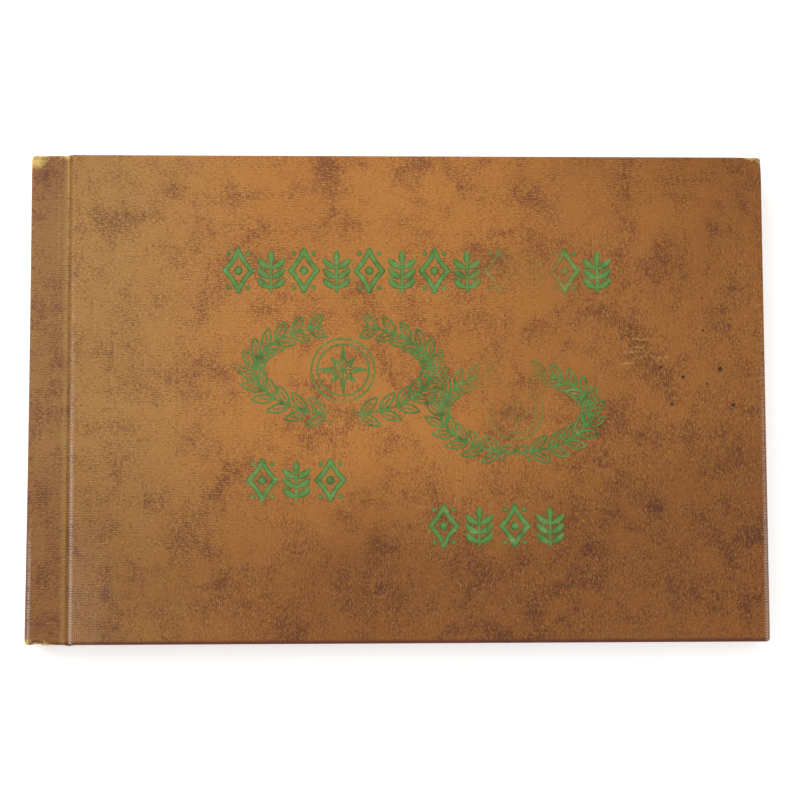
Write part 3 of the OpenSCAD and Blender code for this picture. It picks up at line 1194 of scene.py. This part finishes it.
class LOGBOOK_OT_front_case(Operator):
    """Cover the front board, the card strips and the spine with one piece of cloth."""

    bl_idname = "logbook.front_case"
    bl_label = "Front case cloth"

    def execute(self, context):
        stations = case_stations(with_spine=True)
        finish = case_finish("bookcloth", cloth_runs(stations))
        mesh = case_skin(stations, back=False).mesh("front_case", CLOTH_MAP, (0, 0, 1))
        made = new_object("front_case", mesh, finish)
        thicken(made, CLOTH_MADE, -1.0)
        joint_point(RIDGE, GROOVE)
        joint_point(NEAR, GROOVE)
        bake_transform(made)
        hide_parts("front_cover_cloth", "front_joint_cloth", "spine_cloth")
        cut_size(stations)
        return {"FINISHED"}


class LOGBOOK_OT_back_case(Operator):
    """Cover the back board with its cloth, as far as the ridge of the back strip."""

    bl_idname = "logbook.back_case"
    bl_label = "Back case cloth"

    def execute(self, context):
        stations = case_stations(with_spine=False)
        finish = case_finish("bookcloth_of_the_back", cloth_runs(stations), seed=40.0, marked=False)
        mesh = case_skin(stations, back=True).mesh("back_case", CLOTH_MAP, (0, 0, -1))
        made = new_object("back_case", mesh, finish)
        thicken(made, CLOTH_MADE, -1.0)
        low = THICKNESS - GROOVE
        joint_point(RIDGE, low)
        joint_point(NEAR, low)
        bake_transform(made)
        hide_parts("back_cover_cloth", "back_joint_cloth")
        cut_size(stations)
        return {"FINISHED"}


# Tufts of threads by the piece they make and its body: where each tuft stands, the way that it
# points, and how many threads it has.
TUFTS = {
    "frayed_threads_of_the_spine": ("spine_block", (
        (SPINE + 1.6, HALF - 1.2, -0.4, 0.9, 9),
        (SPINE + 3.0, HALF - 1.0, 1.0, 0.1, 6),
        (SPINE + 9.5, HALF - 0.9, 0.2, 0.9, 5),
        (SPINE + 0.9, 1.4 - HALF, -0.3, -0.9, 6),
        (SPINE + 6.0, 1.2 - HALF, 0.5, -0.7, 6),
    )),
    "frayed_threads_of_the_cover": ("front_cover", (
        (FORE - 3.0, HALF - 1.1, 0.5, 0.8, 7),
    )),
}


class LOGBOOK_OT_frayed_threads(Operator):
    """Tease out a few cream threads where the cloth has worn through at its corners."""

    bl_idname = "logbook.frayed_threads"
    bl_label = "Frayed threads"

    def execute(self, context):
        chance = Random(context.scene.logbook_paper.seed)
        finish = Finish("bare_thread")
        twist = finish.noise(4.0, 2.0, 0.7, seed=1.0)
        colour = finish.mix(context.scene.logbook_cloth.worn, srgb(232, 212, 164), twist.step(0.4, 0.65))
        material = finish.close(colour, twist * 0.1 + 0.8, twist, 0.02)
        for name, (body, places) in TUFTS.items():
            skin = Skin()
            for x, y, way_x, way_y, count in places:
                top = THICKNESS if body == "front_cover" else STRIP_TOP
                for _ in range(count):
                    turn = math.atan2(way_y, way_x) + chance.uniform(-0.7, 0.7)
                    root_x = x + chance.uniform(-0.9, 0.9)
                    root_y = y + chance.uniform(-0.5, 0.5)
                    length = chance.uniform(1.0, 2.3)
                    curl = chance.uniform(-0.9, 0.9)
                    self.thread(skin, Vector((root_x, root_y, top + 0.03)), turn, length, curl)
            made = new_object(name, skin.mesh(name, PAGE_MAP), material)
            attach(made, body)
        return {"FINISHED"}

    def thread(self, skin, start, turn, length, curl):
        """One thread, a thin tapering tube that curls as it leaves the cloth."""
        pieces = 8
        ways = [turn + 2 * curl * index / pieces for index in range(pieces + 1)]
        points = [start]
        for index, way in enumerate(ways[:-1]):
            drop = -0.035 * index * length / pieces
            points.append(points[-1] + Vector((math.cos(way), math.sin(way), drop)) * length / pieces)
        rings = []
        for index, (point, way) in enumerate(zip(points, ways)):
            side, up = Vector((-math.sin(way), math.cos(way), 0.0)), Vector((0, 0, 1))
            thin = 0.075 * (1.0 - index / 12)
            rings.append([
                (point + (side * math.cos(angle) + up * math.sin(angle)) * thin, (angle, index))
                for angle in even_steps(0.0, math.tau, math.tau / 6)
            ])
        skin.grid(rings)
        for ring in (rings[0], rings[-1]):
            middle = sum((point for point, flat in ring[1:]), Vector()) / (len(ring) - 1)
            skin.grid([[(middle, (0, 0)), place] for place in ring])


# Each row's first and last ornament and its height on the cover, and each emblem's place and size.
ORNAMENT_ROWS = {
    "stamped_upper_row": (
        {"first": -50.0, "last": 62.0, "count": 12, "y": 39.6, "tall": 12.8},
    ),
    "stamped_lower_rows": (
        {"first": -42.5, "last": -21.5, "count": 3, "y": -25.7, "tall": 12.0},
        {"first": 13.5, "last": 46.5, "count": 4, "y": -40.0, "tall": 12.0},
    ),
}
EMBLEMS = {
    "stamped_left_emblem": {
        "centre": (-17.5, 8.5), "radius": 9.8,
        "wreath": {"across": 27.5, "along": 14.0, "leaves": 12, "size": 7.6},
    },
    "stamped_right_emblem": {
        "centre": (36.0, -4.5), "radius": 8.6,
        "wreath": {"across": 23.5, "along": 12.6, "leaves": 11, "size": 7.2},
    },
}


class LOGBOOK_OT_stamping(Operator):
    """Stamp the front cover with rows of ornaments and two emblems."""

    bl_idname = "logbook.stamping"
    bl_label = "Stamping"

    def execute(self, context):
        finish = stamping_finish("stamped_colour")
        for name, rows in ORNAMENT_ROWS.items():
            stamp = Stamp()
            for row in rows:
                ornament_row(stamp, **row)
            self.place(stamp, name, finish)
        for name, emblem in EMBLEMS.items():
            stamp = Stamp()
            compass(stamp, emblem["centre"], emblem["radius"])
            wreath(stamp, emblem["centre"], **emblem["wreath"])
            self.place(stamp, name, finish)
        return {"FINISHED"}

    def place(self, stamp, name, finish):
        """One stamped area, on the front cover."""
        made = stamp.made(name, finish)
        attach(made, "front_cover")


class LOGBOOK_OT_pastedowns(Operator):
    """Paste an endpaper inside each cover, down over the turned-in cloth."""

    bl_idname = "logbook.pastedowns"
    bl_label = "Pastedowns"

    def execute(self, context):
        paper = context.scene.logbook_paper
        edge = ((NEAR - 0.9, PASTE_LO.y), (PASTE_HI.x, PASTE_HI.y))
        finish = paper_finish("endpaper", paper.endpaper, edge, ruled=False)
        sheet = 0.13
        columns = even_steps(NEAR - 0.9, NEAR + 0.3, 0.1) + even_steps(NEAR + 1.3, NEAR + 6.3, 1.0)
        window_x = FORE - TURN_IN
        columns += even_steps(NEAR + 10.0, window_x - 3.0, 6.0)
        columns += even_steps(window_x - 2.0, window_x + 2.0, 0.5)
        columns += even_steps(window_x + 4.0, PASTE_HI.x, 4.0)
        window_y = HALF - TURN_IN
        half_rows = even_steps(4.0, window_y - 3.0, 6.0)
        half_rows += even_steps(window_y - 2.0, window_y + 2.0, 0.5)
        half_rows += even_steps(window_y + 4.0, PASTE_HI.y, 3.0)
        rows = [-y for y in reversed(half_rows)] + [0.0] + half_rows

        def sunk(x, y):
            """How far the paper is let in, over bare board and not over turned-in cloth."""
            inside = min(window_x - x, window_y - abs(y), x - NEAR - 1.0)
            return CLOTH_MADE * eased(inside / 1.6 + 0.5)

        def front_height(x, y):
            return PASTE_LO.z + sheet / 2 + sunk(x, y)

        for name, body, height in (
            ("front_endpaper", "front_cover", front_height),
            ("back_endpaper", "back_cover", lambda x, y: THICKNESS - front_height(x, y)),
        ):
            made = paper_sheet(name, finish, columns, rows, height, sheet)
            level = height(NEAR, 0.0)
            joint_point(RIDGE, level)
            joint_point(NEAR, level)
            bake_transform(made)
            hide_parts(body.replace("cover", "pastedown"))
        return {"FINISHED"}


class LOGBOOK_OT_leaves(Operator):
    """Make the flyleaves and the ruled leaves, each its own sheet."""

    bl_idname = "logbook.leaves"
    bl_label = "Leaves"

    def execute(self, context):
        paper = context.scene.logbook_paper
        chance = Random(paper.seed)
        edge = ((LEAF_LO.x, LEAF_LO.y), (LEAF_HI.x, LEAF_HI.y))
        ruled = [
            paper_finish(f"ruled_leaf_{index + 1}", paper.leaf, edge, ruled=True, age=age)
            for index, age in enumerate((0.9, 0.66, 0.78, 0.45))
        ]
        plain = paper_finish("flyleaf", paper.endpaper, edge, ruled=False)
        names = [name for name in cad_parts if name.startswith("leaf_") or name.endswith("flyleaf")]
        for name in sorted(names):
            low, high = box_mm(name)
            root = MARGIN_HI.x
            reach = high.x + chance.uniform(-1, 1) * paper.unevenness
            shift = chance.uniform(-1, 1) * paper.unevenness
            columns = even_steps(root - 0.1, root + paper.curl, 0.3)
            columns += even_steps(root + paper.curl + 4.0, reach, 9.0)
            rows = even_steps(low.y + shift, high.y + shift, 9.0)
            middle = (low.z + high.z) / 2
            is_fly = name.endswith("flyleaf")
            finish = plain if is_fly else chance.choice(ruled)
            made = paper_sheet(
                name + "_sheet", finish, columns, rows, lambda x, y: middle, paper.thickness
            )
            start, end = joint_point(root, middle), joint_point(root + paper.curl, middle)
            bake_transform(made)
            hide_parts(name)
        return {"FINISHED"}


class LOGBOOK_OT_inner_parts(Operator):
    """Finish the boards, strips, linings, bound margin and staples inside the case."""

    bl_idname = "logbook.inner_parts"
    bl_label = "Inner parts"

    def execute(self, context):
        board = millboard_finish()
        finishes = {
            "front_board": board,
            "back_board": board,
            "front_hinge_strip": board,
            "back_hinge_strip": board,
            "spine_stiffener": board,
            "kraft_lining": kraft_finish(),
            "gauze_lining": gauze_finish(),
            "bound_margin": margin_finish(),
            "wire_staples": wire_finish(),
        }
        for name, finish in finishes.items():
            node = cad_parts[name]
            node.material_slots[0].material = finish
        for name in ("front_board", "back_board"):
            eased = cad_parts[name].modifiers.new("eased_edges", "BEVEL")
            eased.width = 0.6 * MM
            eased.segments = 3
        return {"FINISHED"}


PIECE_OPERATORS = (
    LOGBOOK_OT_studio,
    LOGBOOK_OT_front_case,
    LOGBOOK_OT_back_case,
    LOGBOOK_OT_frayed_threads,
    LOGBOOK_OT_stamping,
    LOGBOOK_OT_pastedowns,
    LOGBOOK_OT_leaves,
    LOGBOOK_OT_inner_parts,
)


class LOGBOOK_PT_sidebar(Panel):
    """The logbook's pieces, in the sidebar."""

    bl_idname = "LOGBOOK_PT_sidebar"
    bl_label = "Logbook"
    bl_space_type = "VIEW_3D"
    bl_region_type = "UI"
    bl_category = "Logbook"

    def draw(self, context):
        for operator in PIECE_OPERATORS:
            self.layout.operator(operator.bl_idname)


GROUPS = {
    "logbook_cloth": LOGBOOK_PG_cloth,
    "logbook_paper": LOGBOOK_PG_paper,
    "logbook_studio": LOGBOOK_PG_studio,
}


def register():
    """Registers the settings, the operators and the panel."""
    for name, group in GROUPS.items():
        bpy.utils.register_class(group)
        setattr(bpy.types.Scene, name, PointerProperty(type=group))
    for operator in PIECE_OPERATORS:
        bpy.utils.register_class(operator)
    bpy.utils.register_class(LOGBOOK_PT_sidebar)


def unregister():
    """Takes them all away again."""
    bpy.utils.unregister_class(LOGBOOK_PT_sidebar)
    for operator in reversed(PIECE_OPERATORS):
        bpy.utils.unregister_class(operator)
    for name, group in GROUPS.items():
        delattr(bpy.types.Scene, name)
        bpy.utils.unregister_class(group)


def main():
    """Builds every piece around the frame."""
    register()
    for operator in PIECE_OPERATORS:
        group, name = operator.bl_idname.split(".")
        getattr(getattr(bpy.ops, group), name)()


if __name__ == "__main__":
    main()
